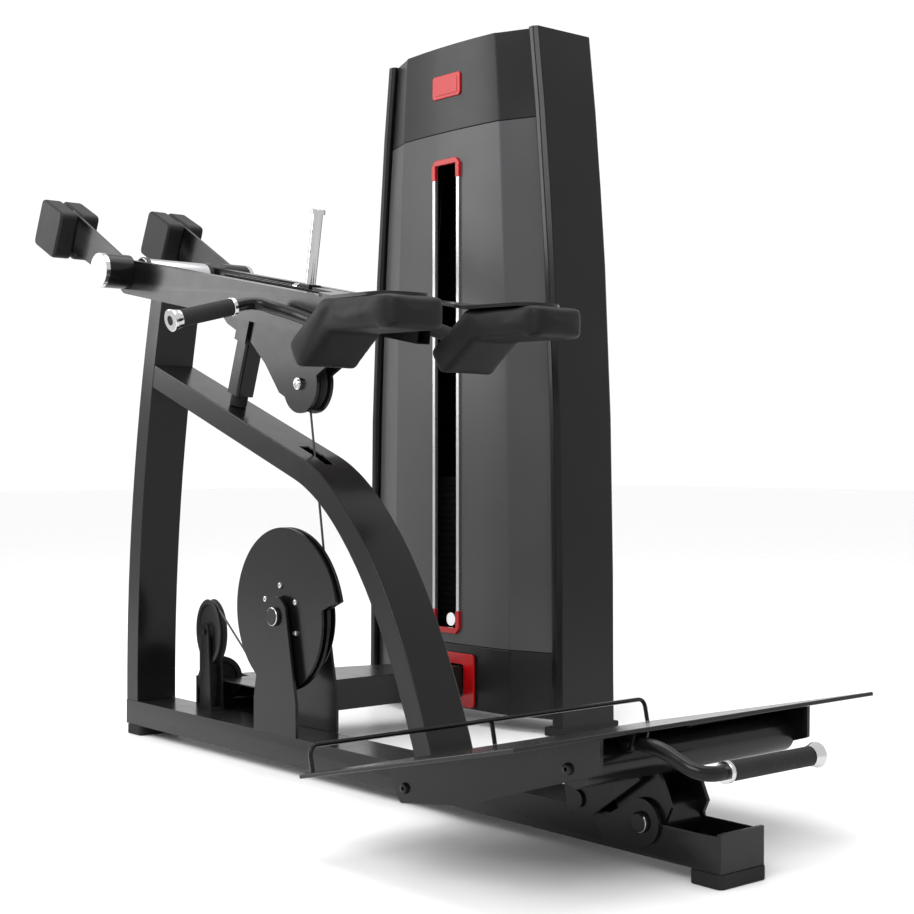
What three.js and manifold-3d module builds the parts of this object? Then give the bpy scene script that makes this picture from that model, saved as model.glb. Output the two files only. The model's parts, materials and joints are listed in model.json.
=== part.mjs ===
// A pin-loaded squat machine: a swing arm with shoulder pads lifts a weight stack by cable,
// and the user stands on a tilting platform. Units are millimetres, +Z up, +X towards the
// platform, +Y towards the weight tower. The origin is the middle of the rear foot's underside.
import * as THREE from 'three';
import { mergeVertices } from 'three/addons/utils/BufferGeometryUtils.js';
import Module from 'manifold-3d';

const wasm = await Module();
wasm.setup();

// ---------- driving dimensions ----------
const GAP = 0.4;                       // clearance between touching pieces
const RUN_GAP = 1.5;                   // clearance between pieces that move past each other
const ROUND = 28;                      // segments of a full round

// main frame tube
const TUBE_THICK = 60;
const TUBE_WIDE = 120;
const TUBE_WALL = 4;
const FOOT_HEIGHT = 26;
const BEAM_HEIGHT = 66;
const FOOT_LENGTH = 76;
const FRAME_LENGTH = 2080;             // rear foot centre to front foot centre
const BEAM_OVERHANG = 34;

// rear upright and bent main strut
const UPRIGHT_TOP_Z = 1222;
const UPRIGHT_X = { base: -14, bow: -19, top: 126 };
const STRUT_JOIN_Z = 990;
const STRUT_BEND = { x: 890, z: 708 };
const STRUT_FOOT_X = 1290;
const STRUT_SLOT_X = [735, 835];
const STRUT_SLOT_WIDTH = 26;

// swing arm
const PIVOT = { x: 115, z: 1267 };
const ARM_SLOPE = 10.5;                // degrees, rails fall towards the front at rest
const AXLE_RADIUS = 14;
const HUB_RADIUS = 46;
const HUB_REACH = 76;                   // hub end beyond the rail's outer face
const CAP_LENGTH = 10;
const RAIL_INNER = 106;
const RAIL_THICK = 40;
const RAIL_HEIGHT = 92;
const HUB_END = RAIL_INNER + RAIL_THICK + HUB_REACH;
const RAIL_LENGTH = 955;
const RAIL_WALL = 4;
const RAIL_DROP = 12;                  // rail centre line below the pivot
const PLATE = 8;                       // arm and platform plate thickness
const WEIGHT_ARM_Y = RAIL_INNER + RAIL_THICK + 23;
const WEIGHT_BLOCK = { size: 134, half: 54, corner: 18, x: -329, z: 86, turn: -15 };
const LEVER_INNER = 17;
const WHEEL_LOCAL = { x: 685, z: -197 };
const WHEEL_RADIUS = 64;
const LEVER_END_RADIUS = 72;
const ARM_CROSS_X = [330, 900];
const CROSS_RADIUS = 24;
const STOP_LOCAL_X = 432;
const STOP_TOP = 130;
const STOP_HALF = 26;
const STOP_TILT = 9.5;                 // stop post stands square on the strut
const STOP_LENGTH = 142;
const BUMPER_HEIGHT = 30;
const BUMPER_RADIUS = 22;
const ADJUSTER_X = 650;
const ADJUSTER_RADIUS = 13;
const ADJUSTER_SPAN = [-60, 226];
const SLEEVE_SPAN = [-30, 44];
const PIN_HEIGHT = 30;
const PIN_RADIUS = 4;

// shoulder pads (level at rest) and handles
const PAD = { x0: 1218, x1: 1440, y0: 121, y1: 280, z0: 1034, thick: 66 };
const PAD_FLAP = { length: 136, fall: 37, thick: 74 };
const HANDLE_RADIUS = 15;
const GRIP_RADIUS = 20;
const GRIP_LENGTH = 150;

// cam and pulleys
const CAM = { x: 700, z: 380, y: [-44, -20] };
const CAM_BIG = 233;
const CAM_SMALL = 172;
const CAM_STEP_ANGLE = 12;
const DRUM_RADIUS = 140;
const DRUM_FLANGE = 152;
const DRUM_Y = [-12, 12];
const CAM_AXLE_RADIUS = 15;
const CAM_BRACKET = { base: 92, top: 50 };
const CAM_GROOVE = 12;
const CAM_LEAVE_ANGLE = 245.4;          // where the weight cable leaves the cam
const CAM_STRAIGHT = 72;
const GUIDE_WHEEL = { x: 256, y: 31, z: 300, radius: 87, half: 12, turn: -9.8 };
const TURN_WHEEL = { z: 160, radius: 62, half: 11, turn: 78.1 };
const WHEEL_GROOVE = 9;
const CABLE_RADIUS = 3;

// tower
const TOWER_X = 375;
const TOWER_HEIGHT = 1975;
const TOWER_HALF_BASE = 416;
const TOWER_HALF_TOP = 318;
const TOWER_FRONT = 757;
const TOWER_SIDE = 812;
const TOWER_REAR = 1020;
const TOWER_BOTTOM = 43;
const SHELL = 4;
const PANEL_SEAM = 2;
const LOWER_SEAM = 227;
const HEADER_SEAM = 1722;
const SLOT = { half: 62, z0: 256, z1: 1642, lip: 16 };
const DUCT = { z0: 82, z1: 166, right: 77, left: 62, wall: 4 };
const STACK_Y = 905;
const CABLE_REAR_Y = 974;
const TOP_WHEEL_Z = 1850;
const PLATE_COUNT = 20;
const PLATE_PITCH = 20;
const STACK_BOTTOM = 284;
const STACK_SIZE = { x: 300, y: 110 };
const ROD_SPREAD = 100;
const ROD_RADIUS = 10;

// platform
const TILT_AXIS = { x: FRAME_LENGTH - 154, z: 90 };
const PLATE_TILT = 12.5;               // degrees, front edge higher at rest
const FOOT_PLATE = { x: FRAME_LENGTH - 652, z: 157, length: 630, half: 493, thick: 8 };
const SIDE_PLATE_Y = 290;
const BARREL_RADIUS = 48;
const REST_PIN = { x: FRAME_LENGTH - 311, radius: 17 };
const STOP_ROD = { radius: 5, height: 52, reach: 470, inset: 14 };
const PLATFORM_TUBE = { x: 545, drop: 50, radius: 38 };
const RELEASE = { x: FRAME_LENGTH - 64, y: -180, z: 263, radius: 13.5, grip: 18 };

// ---------- materials ----------
const paint = new THREE.MeshStandardMaterial({ color: 0x1b1b1d, roughness: 0.32, metalness: 0.1 });
const panelGrey = new THREE.MeshStandardMaterial({ color: 0x4a4a4c, roughness: 0.4, metalness: 0.1 });
const headerBlack = new THREE.MeshStandardMaterial({ color: 0x2b2b2d, roughness: 0.4, metalness: 0.1 });
const chrome = new THREE.MeshStandardMaterial({ color: 0xd8d8da, roughness: 0.12, metalness: 1 });
const castIron = new THREE.MeshStandardMaterial({ color: 0x1e1e1f, roughness: 0.6, metalness: 0.4 });
const redPlastic = new THREE.MeshStandardMaterial({ color: 0xd81f2a, roughness: 0.35, metalness: 0 });
const padFoam = new THREE.MeshStandardMaterial({ color: 0x161617, roughness: 0.65, metalness: 0 });
const rubber = new THREE.MeshStandardMaterial({ color: 0x111112, roughness: 0.8, metalness: 0 });
const cableSteel = new THREE.MeshStandardMaterial({ color: 0x242426, roughness: 0.5, metalness: 0.2 });

// ---------- geometry helpers ----------
const rad = THREE.MathUtils.degToRad;
const v2 = (x, y) => new THREE.Vector2(x, y);
const v3 = (x, y, z) => new THREE.Vector3(x, y, z);

function solid(geometry) {
  const bare = geometry.clone();
  bare.deleteAttribute('normal');
  bare.deleteAttribute('uv');
  const merged = mergeVertices(bare, 1e-3);
  return new wasm.Manifold(new wasm.Mesh({
    numProp: 3,
    vertProperties: Float32Array.from(merged.attributes.position.array),
    triVerts: Uint32Array.from(merged.index.array),
  }));
}

function geometryOf(manifold) {
  const mesh = manifold.getMesh();
  const geometry = new THREE.BufferGeometry();
  geometry.setAttribute('position', new THREE.BufferAttribute(mesh.vertProperties, 3));
  geometry.setIndex(new THREE.BufferAttribute(mesh.triVerts, 1));
  geometry.computeVertexNormals();
  return geometry;
}

// a named piece of the machine, from a manifold solid or a geometry
function piece(parent, name, shape, material) {
  const geometry = shape.isBufferGeometry ? shape : geometryOf(shape);
  const mesh = new THREE.Mesh(geometry, material.clone());
  mesh.name = name;
  parent.add(mesh);
  return mesh;
}

function block(x, y, z) {
  const g = new THREE.BoxGeometry(x[1] - x[0], y[1] - y[0], z[1] - z[0]);
  g.translate((x[0] + x[1]) / 2, (y[0] + y[1]) / 2, (z[0] + z[1]) / 2);
  return solid(g);
}

// a round bar along Y
function barY(x, z, radius, y0, y1, segments = ROUND) {
  const g = new THREE.CylinderGeometry(radius, radius, y1 - y0, segments);
  g.translate(x, (y0 + y1) / 2, z);
  return solid(g);
}

// a round bar along X
function barX(y, z, radius, x0, x1, segments = ROUND) {
  const g = new THREE.CylinderGeometry(radius, radius, x1 - x0, segments);
  g.rotateZ(Math.PI / 2);
  g.translate((x0 + x1) / 2, y, z);
  return solid(g);
}

// a round bar along Z
function barZ(x, y, radius, z0, z1, segments = ROUND) {
  const g = new THREE.CylinderGeometry(radius, radius, z1 - z0, segments);
  g.rotateX(Math.PI / 2);
  g.translate(x, y, (z0 + z1) / 2);
  return solid(g);
}

// an outline in the X-Z plane made into a plate between two Y values
function plateXZ(points, y0, y1) {
  const g = new THREE.ExtrudeGeometry(new THREE.Shape(points), { depth: y1 - y0, bevelEnabled: false });
  g.rotateX(Math.PI / 2);
  g.translate(0, y1, 0);
  return solid(g);
}

// an outline in the X-Y plane made into a plate between two Z values
function plateXY(points, z0, z1) {
  const g = new THREE.ExtrudeGeometry(new THREE.Shape(points), { depth: z1 - z0, bevelEnabled: false });
  g.translate(0, 0, z0);
  return solid(g);
}

// polygon corners [x, y, radius] rounded with arcs
function rounded(corners, steps = 4) {
  const out = [];
  corners.forEach(([x, y, r = 0], i) => {
    const before = corners[(i + corners.length - 1) % corners.length];
    const after = corners[(i + 1) % corners.length];
    const here = v2(x, y);
    if (r <= 0) {
      out.push(here);
      return;
    }
    const a = v2(before[0], before[1]).sub(here);
    const b = v2(after[0], after[1]).sub(here);
    const half = Math.acos(a.clone().normalize().dot(b.clone().normalize())) / 2;
    const reach = Math.min(r / Math.tan(half), a.length() * 0.49, b.length() * 0.49);
    const start = here.clone().add(a.setLength(reach));
    const end = here.clone().add(b.setLength(reach));
    out.push(...new THREE.QuadraticBezierCurve(start, here, end).getPoints(steps));
  });
  return out;
}

function arcPoints(cx, cy, r, fromDeg, toDeg, steps) {
  return Array.from({ length: steps + 1 }, (_, i) => {
    const a = rad(fromDeg + ((toDeg - fromDeg) * i) / steps);
    return v2(cx + r * Math.cos(a), cy + r * Math.sin(a));
  });
}

// a path that passes through every given point, one step for each point
class RoutePath extends THREE.Curve {
  constructor(points) {
    super();
    this.points = points;
  }

  getPointAt(t) {
    return this.points[Math.round(t * (this.points.length - 1))].clone();
  }

  getTangentAt(t) {
    const i = Math.round(t * (this.points.length - 1));
    const ahead = this.points[Math.min(i + 1, this.points.length - 1)];
    const behind = this.points[Math.max(i - 1, 0)];
    return ahead.clone().sub(behind).normalize();
  }
}

// a round tube through the given points
function routeTube(points, radius, sides = 12) {
  const section = new THREE.Shape(arcPoints(0, 0, radius, 0, 360 - 360 / sides, sides - 1));
  const settings = { steps: points.length - 1, bevelEnabled: false, extrudePath: new RoutePath(points) };
  return solid(new THREE.ExtrudeGeometry(section, settings));
}

// a round tube that bends smoothly past the given points
function roundTube(points, radius, steps, sides = 12) {
  return routeTube(new THREE.CatmullRomCurve3(points, false, 'centripetal').getSpacedPoints(steps), radius, sides);
}

// a closed body through stacked outlines that all have the same number of points
function loft(sections) {
  const count = sections[0].length;
  const positions = sections.flat().flatMap((p) => [p.x, p.y, p.z]);
  const index = [];
  for (let s = 0; s < sections.length - 1; s += 1) {
    for (let i = 0; i < count; i += 1) {
      const a = s * count + i;
      const b = s * count + ((i + 1) % count);
      index.push(a, b, b + count, a, b + count, a + count);
    }
  }
  const capOf = (section) => THREE.ShapeUtils.triangulateShape(section.map((p) => v2(p.x, p.y)), []);
  const last = (sections.length - 1) * count;
  capOf(sections[0]).forEach(([a, b, c]) => index.push(a, c, b));
  capOf(sections[sections.length - 1]).forEach(([a, b, c]) => index.push(last + a, last + b, last + c));
  const g = new THREE.BufferGeometry();
  g.setAttribute('position', new THREE.Float32BufferAttribute(positions, 3));
  g.setIndex(index);
  return solid(g);
}

// a plane curve given thickness on both sides, as a closed outline
function ribbon(points, thick, grow = 0) {
  const curve = points;
  const left = [];
  const right = [];
  curve.forEach((p, i) => {
    const ahead = curve[Math.min(i + 1, curve.length - 1)];
    const behind = curve[Math.max(i - 1, 0)];
    const n = ahead.clone().sub(behind).normalize();
    const side = v2(-n.y, n.x).multiplyScalar(thick / 2);
    const push = n.clone().multiplyScalar(i === 0 ? -grow : i === curve.length - 1 ? grow : 0);
    left.push(p.clone().add(side).add(push));
    right.push(p.clone().sub(side).add(push));
  });
  return [...left.reverse(), ...right];
}

// rectangular tube whose centre line lies in the X-Z plane; its two ends are open
function boxTube(line, thick, wide, wall) {
  const outer = plateXZ(ribbon(line, thick), -wide / 2, wide / 2);
  const inner = plateXZ(ribbon(line, thick - 2 * wall, 20), -wide / 2 + wall, wide / 2 - wall);
  return outer.subtract(inner);
}

// ---------- frame ----------
const machine = new THREE.Group();
const beamBottom = FOOT_HEIGHT + GAP;
const beamTop = FOOT_HEIGHT + BEAM_HEIGHT;
const beamStart = UPRIGHT_X.base - TUBE_THICK / 2 - 2;
const beamEnd = FRAME_LENGTH + BEAM_OVERHANG;
const tubeHalf = TUBE_WIDE / 2;

function uprightLine() {
  const base = v2(UPRIGHT_X.base, beamTop + GAP);
  const top = v2(UPRIGHT_X.top, UPRIGHT_TOP_Z);
  const bow = v2(UPRIGHT_X.bow, (base.y + top.y) / 2);
  return new THREE.QuadraticBezierCurve(base, bow, top).getPoints(14);
}

function strutLine() {
  const start = v2(70, STRUT_JOIN_Z + 13);
  const foot = v2(STRUT_FOOT_X, beamTop - 20);
  const bend = v2(STRUT_BEND.x, STRUT_BEND.z);
  const before = bend.clone().add(start.clone().sub(bend).setLength(110));
  const after = bend.clone().add(v2(95, -97));
  const corner = new THREE.QuadraticBezierCurve(before, bend, after).getPoints(10);
  const lean = v2(after.x + 177, after.y - 177);
  const leg = new THREE.QuadraticBezierCurve(after, lean, foot).getPoints(10);
  return [start, ...corner, ...leg.slice(1)];
}

const roundedFoot = (cx, cy, halfX, halfY) => plateXY(rounded([
  [cx - halfX, cy - halfY, 12], [cx + halfX, cy - halfY, 12],
  [cx + halfX, cy + halfY, 12], [cx - halfX, cy + halfY, 12],
]), 0, FOOT_HEIGHT);

piece(machine, 'rear_foot', roundedFoot(0, 0, FOOT_LENGTH / 2, tubeHalf + 4), rubber);
piece(machine, 'front_foot', roundedFoot(FRAME_LENGTH, 0, FOOT_LENGTH / 2, tubeHalf + 4), rubber);

const uprightOuter = plateXZ(ribbon(uprightLine(), TUBE_THICK), -tubeHalf, tubeHalf);
const uprightKeepOut = plateXZ(ribbon(uprightLine(), TUBE_THICK + 2 * GAP, 2), -tubeHalf - 1, tubeHalf + 1);

// The beam is a closed-top tube at the back and an open channel in front of the platform pivot.
function baseBeam() {
  const middle = beamBottom + BEAM_HEIGHT / 2;
  const line = [v2(beamStart, middle), v2(beamEnd, middle)];
  const channel = block(
    [TILT_AXIS.x - BARREL_RADIUS - 24, beamEnd - PLATE],
    [-tubeHalf + TUBE_WALL, tubeHalf - TUBE_WALL], [beamBottom + TUBE_WALL, beamTop + 80],
  );
  const endPlate = plateXZ(
    [v2(beamEnd - PLATE, beamBottom), v2(beamEnd, beamBottom), v2(beamEnd, beamTop + 6), v2(beamEnd - PLATE, beamTop + 6)],
    -tubeHalf, tubeHalf,
  );
  return boxTube(line, BEAM_HEIGHT, TUBE_WIDE, TUBE_WALL)
    .add(endPlate).add(pivotEars()).subtract(channel)
    .subtract(barY(TILT_AXIS.x, TILT_AXIS.z, AXLE_RADIUS + GAP, -200, 200));
}

// ears that carry the platform's pivot, one on each side of the beam
function pivotEars() {
  const outline = [
    v2(TILT_AXIS.x - 118, beamTop - 20), v2(TILT_AXIS.x - 100, beamBottom + 12),
    v2(TILT_AXIS.x - 10, beamBottom + 12), ...arcPoints(TILT_AXIS.x, TILT_AXIS.z, 44, -70, 130, 16),
  ];
  const near = plateXZ(outline, -tubeHalf - 6, -tubeHalf + 4);
  return near.add(plateXZ(outline, tubeHalf - 4, tubeHalf + 6));
}

piece(machine, 'base_beam', baseBeam(), paint);

const headRoom = barY(PIVOT.x, PIVOT.z, HUB_RADIUS - 4 + GAP, -150, 150);
const uprightHollow = plateXZ(ribbon(uprightLine(), TUBE_THICK - 2 * TUBE_WALL, 20), -tubeHalf + TUBE_WALL, tubeHalf - TUBE_WALL);
piece(machine, 'rear_upright', uprightOuter.subtract(uprightHollow).subtract(headRoom)
  .intersect(block([-200, 400], [-200, 200], [beamTop + 2 * GAP, 1400])), paint);

function mainStrut() {
  const slot = block(STRUT_SLOT_X, [-STRUT_SLOT_WIDTH / 2, STRUT_SLOT_WIDTH / 2], [STRUT_BEND.z - 20, 900]);
  const under = block([STRUT_SLOT_X[0] + 20, STRUT_SLOT_X[1] + 10], [-STRUT_SLOT_WIDTH / 2, STRUT_SLOT_WIDTH / 2], [560, 800]);
  return boxTube(strutLine(), TUBE_THICK, TUBE_WIDE, TUBE_WALL)
    .subtract(uprightKeepOut).subtract(slot).subtract(under)
    .intersect(block([60, 1500], [-200, 200], [beamTop + 2 * GAP, 1400]));
}
piece(machine, 'main_strut', mainStrut(), paint);

// ---------- pivot ----------
const hubClear = RAIL_INNER - RUN_GAP;
piece(machine, 'pivot_tube', barY(PIVOT.x, PIVOT.z, HUB_RADIUS - 4, -hubClear, hubClear)
  .subtract(barY(PIVOT.x, PIVOT.z, AXLE_RADIUS + GAP, -hubClear - 5, hubClear + 5)), chrome);
piece(machine, 'pivot_axle', barY(PIVOT.x, PIVOT.z, AXLE_RADIUS, -HUB_END + 12, HUB_END - 12), chrome);

// ---------- cam and cable wheels ----------
function camBracketOutline() {
  const half = CAM_BRACKET.base;
  return [
    v2(CAM.x - half, beamTop + 2 * GAP), v2(CAM.x + half, beamTop + 2 * GAP), v2(CAM.x + half, beamTop + 82),
    ...arcPoints(CAM.x, CAM.z, CAM_BRACKET.top, 12, 168, 16), v2(CAM.x - half, beamTop + 82),
  ];
}
const camAxleRoom = barY(CAM.x, CAM.z, CAM_AXLE_RADIUS + GAP, -200, 200);
for (const [name, y0] of [['cam_bracket_near', -tubeHalf - PLATE / 2], ['cam_bracket_far', tubeHalf - PLATE / 2]]) {
  piece(machine, name, plateXZ(camBracketOutline(), y0, y0 + PLATE).subtract(camAxleRoom), paint);
}
const axleEnd = tubeHalf + PLATE / 2;
const axleHead = (y0, y1) => barY(CAM.x, CAM.z, CAM_AXLE_RADIUS + 8, y0, y1, 24);
piece(machine, 'cam_axle', barY(CAM.x, CAM.z, CAM_AXLE_RADIUS, -axleEnd - 2, axleEnd + 2)
  .add(axleHead(-axleEnd - 9, -axleEnd - GAP)).add(axleHead(axleEnd + GAP, axleEnd + 9)), chrome);

// spiral edge: largest just above the step, shrinking all the way round to it
function camEdge(scale) {
  const turns = 40;
  return Array.from({ length: turns + 1 }, (_, i) => {
    const t = i / turns;
    const r = (CAM_SMALL + (CAM_BIG - CAM_SMALL) * (1 - t) ** 1.2) - scale;
    const a = rad(CAM_STEP_ANGLE + 356 * t);
    return v2(CAM.x + r * Math.cos(a), CAM.z + r * Math.sin(a));
  });
}

// grooved wheel whose axis is Y, turned on a lathe
function groovedWheel(radius, half, bore, groove, segments = ROUND) {
  const profile = [
    v2(bore, -half), v2(radius, -half), v2(radius, -half + 3), v2(radius - groove, -3),
    v2(radius - groove, 3), v2(radius, half - 3), v2(radius, half), v2(bore, half), v2(bore, -half),
  ];
  return new THREE.LatheGeometry(profile, segments);
}
const wheelSolid = (...args) => solid(groovedWheel(...args));

// the cam that winds the weight cable and, welded beside it, the drum that winds the arm cable
function camAndDrum() {
  const [near, far] = CAM.y;
  const side = 7;
  const drumHalf = (DRUM_Y[1] - DRUM_Y[0]) / 2;
  const drum = wheelSolid(DRUM_FLANGE, drumHalf, CAM_AXLE_RADIUS + GAP, DRUM_FLANGE - DRUM_RADIUS)
    .translate([CAM.x, DRUM_Y[0] + drumHalf, CAM.z]);
  return plateXZ(camEdge(0), near, near + side).add(plateXZ(camEdge(0), far - side, far))
    .add(plateXZ(camEdge(CAM_GROOVE), near + 1, far - 1))
    .add(barY(CAM.x, CAM.z, CAM_AXLE_RADIUS + 30, far - 1, DRUM_Y[0] + 1)).add(drum).subtract(camAxleRoom);
}
piece(machine, 'cam_disc', camAndDrum(), paint);

const boltRadius = 9;
// the wheel's own X direction in plan, after it is turned about Z
const heading = (spec) => v2(Math.cos(rad(spec.turn)), Math.sin(rad(spec.turn)));
function turnedWheel(parent, name, spec) {
  const g = groovedWheel(spec.radius, spec.half, boltRadius + GAP, WHEEL_GROOVE);
  g.rotateZ(rad(spec.turn));
  g.translate(spec.x, spec.y, spec.z);
  return piece(parent, name, solid(g), castIron);
}
const runRadius = (spec) => spec.radius - WHEEL_GROOVE + CABLE_RADIUS + GAP;
const guideExit = v2(GUIDE_WHEEL.x, GUIDE_WHEEL.y).addScaledVector(heading(GUIDE_WHEEL), -runRadius(GUIDE_WHEEL));
const turnCentre = guideExit.clone().addScaledVector(heading(TURN_WHEEL), runRadius(TURN_WHEEL));
const turnWheel = { ...TURN_WHEEL, x: turnCentre.x, y: turnCentre.y };
turnedWheel(machine, 'guide_wheel', GUIDE_WHEEL);
turnedWheel(machine, 'turn_wheel', turnWheel);

// two cheeks and a bolt around a wheel, standing on the surface at height floor
function wheelFork(spec, floor, halfLength, topRadius) {
  const cheek = PLATE - 2;
  const reach = spec.half + RUN_GAP;
  const low = floor - spec.z;
  const cheeks = [reach, -reach - cheek].map((y) => plateXZ(
    [v2(-halfLength, low), v2(halfLength, low), ...arcPoints(0, 0, topRadius, 10, 170, 12)], y, y + cheek,
  ));
  const pin = barY(0, 0, boltRadius, -reach - cheek - 6, reach + cheek + 6, 20);
  return cheeks[0].add(cheeks[1]).add(pin).rotate([0, 0, spec.turn]).translate([spec.x, spec.y, spec.z]);
}
const guideFloor = beamTop + 2 * GAP;
const guideReach = GUIDE_WHEEL.half + RUN_GAP + 2;
const guideWeb = block([-40, 40], [-guideReach, guideReach], [guideFloor, guideFloor + 8])
  .rotate([0, 0, GUIDE_WHEEL.turn]).translate([GUIDE_WHEEL.x, GUIDE_WHEEL.y, 0]);
piece(machine, 'guide_bracket', wheelFork(GUIDE_WHEEL, guideFloor, 40, 24).add(guideWeb), paint);
const turnFloor = DUCT.z0 + DUCT.wall + GAP;
const turnWeb = block([-30, 30], [-TURN_WHEEL.half - RUN_GAP - 2, TURN_WHEEL.half + RUN_GAP + 2], [turnFloor, turnFloor + 5])
  .rotate([0, 0, TURN_WHEEL.turn]).translate([turnWheel.x, turnWheel.y, 0]);
piece(machine, 'turn_bracket', wheelFork(turnWheel, turnFloor, 30, 24).add(turnWeb), paint);

// ---------- cable duct between the beam and the tower ----------
const ductRight = TOWER_X + DUCT.right;
const ductLeftFar = TOWER_X - DUCT.left;
const ductLeftNear = turnWheel.x - TURN_WHEEL.radius;
const ductEnd = TOWER_FRONT - 6;
function ductPlan(inset, over) {
  return [
    v2(ductLeftNear + inset, tubeHalf + GAP - over), v2(ductRight - inset, tubeHalf + GAP - over),
    v2(ductRight - inset, ductEnd + over), v2(ductLeftFar + inset, ductEnd + over),
  ];
}
const turnRoom = block([-TURN_WHEEL.radius - 12, TURN_WHEEL.radius + 12], [-TURN_WHEEL.half - 18, TURN_WHEEL.half + 18], [0, 400])
  .rotate([0, 0, TURN_WHEEL.turn]).translate([turnWheel.x, turnWheel.y, 0]);
piece(machine, 'cable_duct', plateXY(ductPlan(0, 0), DUCT.z0, DUCT.z1)
  .subtract(plateXY(ductPlan(DUCT.wall, 10), DUCT.z0 + DUCT.wall, DUCT.z1 - DUCT.wall))
  .subtract(turnRoom.intersect(block([-500, 900], [-100, 400], [DUCT.z0 + DUCT.wall, 400]))), paint);

// ---------- tower ----------
const tower = new THREE.Group();
tower.position.set(TOWER_X, 0, 0);
machine.add(tower);
const halfWidth = (z) => TOWER_HALF_BASE - (TOWER_HALF_BASE - TOWER_HALF_TOP) * (z / TOWER_HEIGHT) ** 2.6;
const heights = (z0, z1, steps) => Array.from({ length: steps + 1 }, (_, i) => z0 + ((z1 - z0) * i) / steps);

// plan of the front shroud: a gently curved face between two angled side facets
function shroudPlan(z) {
  const w = halfWidth(z);
  const face = 0.62 * w;
  const bulge = [-1, -0.6, -0.2, 0.2, 0.6, 1].map((k) => v2(face * k, TOWER_FRONT + 10 * k * k));
  const edge = w - 20;
  const blend = (s) => v2(s * (face + 9), TOWER_FRONT + 16);
  const outer = [v2(-edge, TOWER_SIDE), blend(-1), ...bulge, blend(1), v2(edge, TOWER_SIDE)];
  const inner = outer.map((p) => v2(p.x * (1 - SHELL / w), p.y + SHELL)).reverse();
  return [...outer, ...inner].map((p) => v3(p.x, p.y, z));
}
const shroud = (z0, z1, steps) => loft(heights(z0, z1, steps).map(shroudPlan));
const slotHole = plateXZ(rounded([
  [-SLOT.half + SLOT.lip, SLOT.z0 + SLOT.lip, 8], [SLOT.half - SLOT.lip, SLOT.z0 + SLOT.lip, 8],
  [SLOT.half - SLOT.lip, SLOT.z1 - SLOT.lip, 8], [-SLOT.half + SLOT.lip, SLOT.z1 - SLOT.lip, 8],
], 4), TOWER_FRONT - 50, TOWER_FRONT + 60);
piece(tower, 'shroud_panel', shroud(LOWER_SEAM + 1, HEADER_SEAM - 1, 9).subtract(slotHole), panelGrey);
piece(tower, 'shroud_header', shroud(HEADER_SEAM + 1, TOWER_HEIGHT, 3), headerBlack);
const ductHole = block([-DUCT.left - 24, DUCT.right + 10], [TOWER_FRONT - 60, TOWER_FRONT + 60], [DUCT.z0 - 10, DUCT.z1 + 10]);
piece(tower, 'shroud_lower', shroud(TOWER_BOTTOM, LOWER_SEAM - 1, 2).subtract(ductHole), headerBlack);

const ring = (outer, inner, y0, y1) => plateXZ(outer, y0, y1).subtract(plateXZ(inner, y0 - 5, y1 + 5));
const frameCorners = (x0, x1, z0, z1, r) => rounded([[x0, z0, r], [x1, z0, r], [x1, z1, r], [x0, z1, r]], 4);
piece(tower, 'slot_frame', ring(
  frameCorners(-SLOT.half, SLOT.half, SLOT.z0, SLOT.z1, 18),
  frameCorners(-SLOT.half + SLOT.lip, SLOT.half - SLOT.lip, SLOT.z0 + SLOT.lip, SLOT.z1 - SLOT.lip, 8),
  TOWER_FRONT - 5, TOWER_FRONT - GAP,
), chrome);
piece(tower, 'duct_frame', ring(
  frameCorners(-DUCT.left - 60, DUCT.right + 50, DUCT.z0 - 34, DUCT.z1 + 36, 14),
  frameCorners(-DUCT.left - 8, DUCT.right + 4, DUCT.z0 - 4, DUCT.z1 + 4, 6),
  TOWER_FRONT - 7, TOWER_FRONT - GAP,
), redPlastic);

// side columns follow the tower's bowed outline
function columnSection(z, side) {
  const w = halfWidth(z);
  const plan = [
    [w - 40, 832], [w - 17, 822], [w - 16, 803], [w - 8, 797], [w + 8, 797], [w + 20, 808],
    [w + 20, 1006], [w + 8, TOWER_REAR], [w - 40, TOWER_REAR],
  ];
  const ordered = side > 0 ? plan : [...plan].reverse();
  return ordered.map(([x, y]) => v3(side * x, y, z));
}
// the space inside a column, which leaves a shell all round
function columnHollow(z, side) {
  const w = halfWidth(z);
  const plan = [[w - 36, 840], [w - 8, 826], [w + 16, 826], [w + 16, 1010], [w - 36, 1010]];
  const ordered = side > 0 ? plan : [...plan].reverse();
  return ordered.map(([x, y]) => v3(side * x, y, z));
}
// a hollow column with closed ends and a wiring hole in its hidden inner wall
function column(side) {
  const outer = loft(heights(0, TOWER_HEIGHT, 9).map((z) => columnSection(z, side)));
  const inner = loft(heights(2 * SHELL, TOWER_HEIGHT - 2 * SHELL, 9).map((z) => columnHollow(z, side)));
  const wall = side * (halfWidth(1000) - 38);
  return outer.subtract(inner).subtract(block([wall - 15, wall + 15], [905, 935], [985, 1015]));
}
piece(tower, 'column_left', column(-1), paint);
piece(tower, 'column_right', column(1), paint);
function backSection(z) {
  const w = halfWidth(z) - 40 - PANEL_SEAM;
  const arc = [-1, -0.5, 0, 0.5, 1].map((k) => v2(w * k, TOWER_REAR - 16 + 12 * (1 - k * k)));
  const inner = arc.map((p) => v2(p.x, p.y - SHELL));
  return [...inner, ...arc.reverse()].map((p) => v3(p.x, p.y, z));
}
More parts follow.
